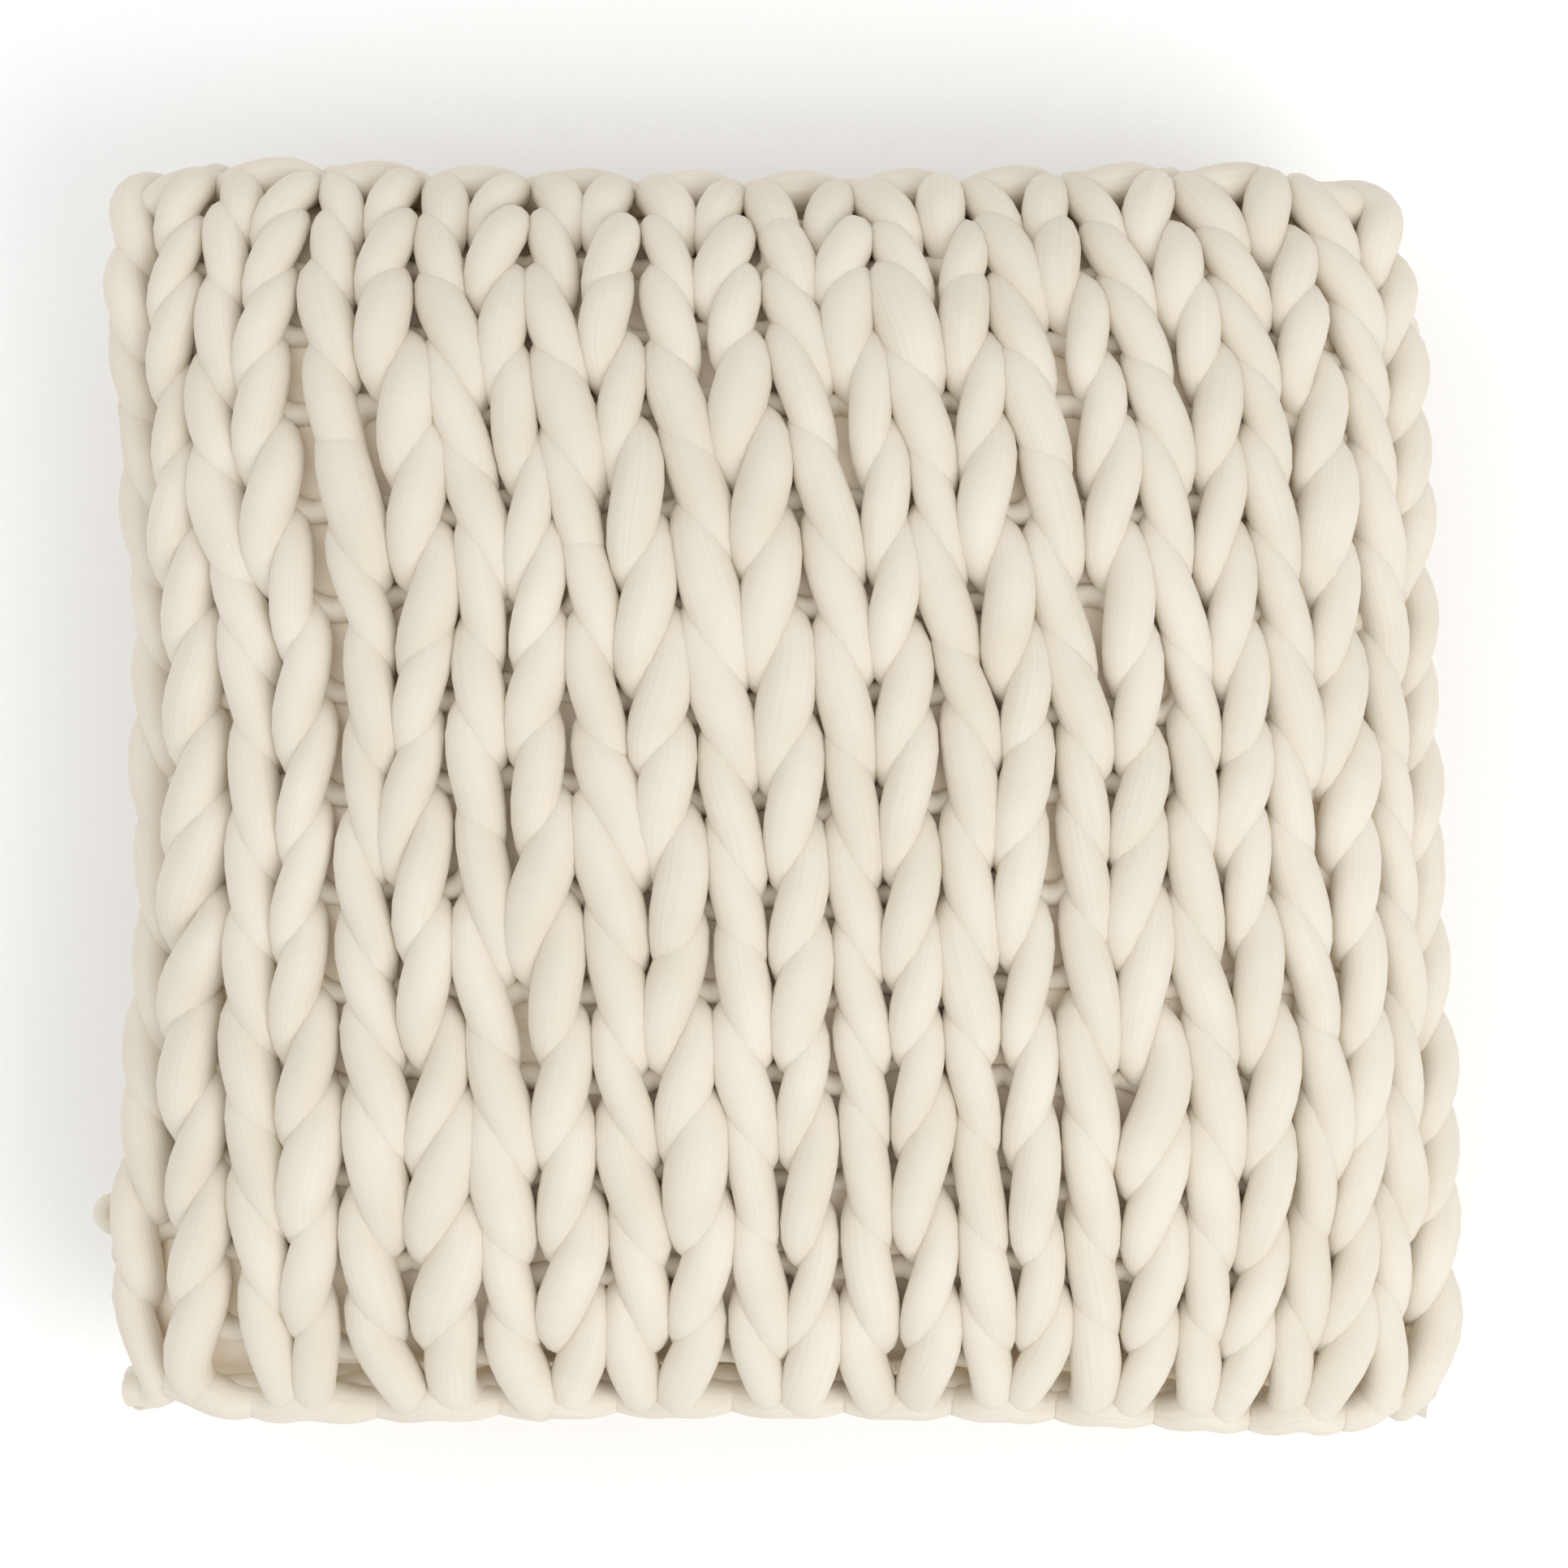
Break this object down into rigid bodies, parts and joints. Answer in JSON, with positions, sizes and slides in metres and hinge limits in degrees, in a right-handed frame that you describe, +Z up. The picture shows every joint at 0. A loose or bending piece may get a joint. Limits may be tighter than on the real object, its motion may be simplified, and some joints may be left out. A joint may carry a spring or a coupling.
{
  "type": "knitted scatter cushion",
  "caption": "Square scatter cushion with a chunky hand-knitted roving cover, a zipped cotton lining with slider and pull tab, and a filled pad inside.",
  "frame": {"origin": "centre of the flat underside, where the cushion rests", "axes": "+X along the zip edge towards its closed end, +Y towards the closed edge opposite the zip, +Z up through the front face"},
  "size_m": [0.45, 0.428, 0.16],
  "materials": {
    "roving": "matte",
    "lining_cotton": "matte",
    "pad_casing": "matte",
    "pad_filling": "matte",
    "label_satin": "satin",
    "zip_tape": "matte",
    "zip_teeth": "satin",
    "zip_metal": "gloss"
  },
  "bodies": {
    "cover": {"knit_front": "roving", "knit_back": "roving", "seam_yarn_left": "roving", "seam_yarn_right": "roving", "seam_yarn_top": "roving", "lining_front": "lining_cotton", "lining_back": "lining_cotton", "pad_casing_front": "pad_casing", "pad_casing_back": "pad_casing", "pad_filling": "pad_filling", "care_label": "label_satin", "zip_tape_upper": "zip_tape", "zip_tape_lower": "zip_tape", "zip_teeth_upper": "zip_teeth", "zip_teeth_lower": "zip_teeth", "zip_top_stops": "zip_metal", "zip_bottom_stop": "zip_metal"},
    "slider": {"zip_slider": "zip_metal"},
    "pull_tab": {"zip_pull_tab": "zip_metal"}
  },
  "joints": [
    {"name": "zip_slide", "type": "slide", "parent": "cover", "child": "slider", "axis": [1, 0, 0], "range_m": [-0.3212, 0]},
    {"name": "pull_tab_hinge", "type": "hinge", "parent": "slider", "child": "pull_tab", "pos_m": [0.1607, -0.1882, 0.08], "axis": [0, 0, 1], "range_deg": [0, 120]}
  ]
}
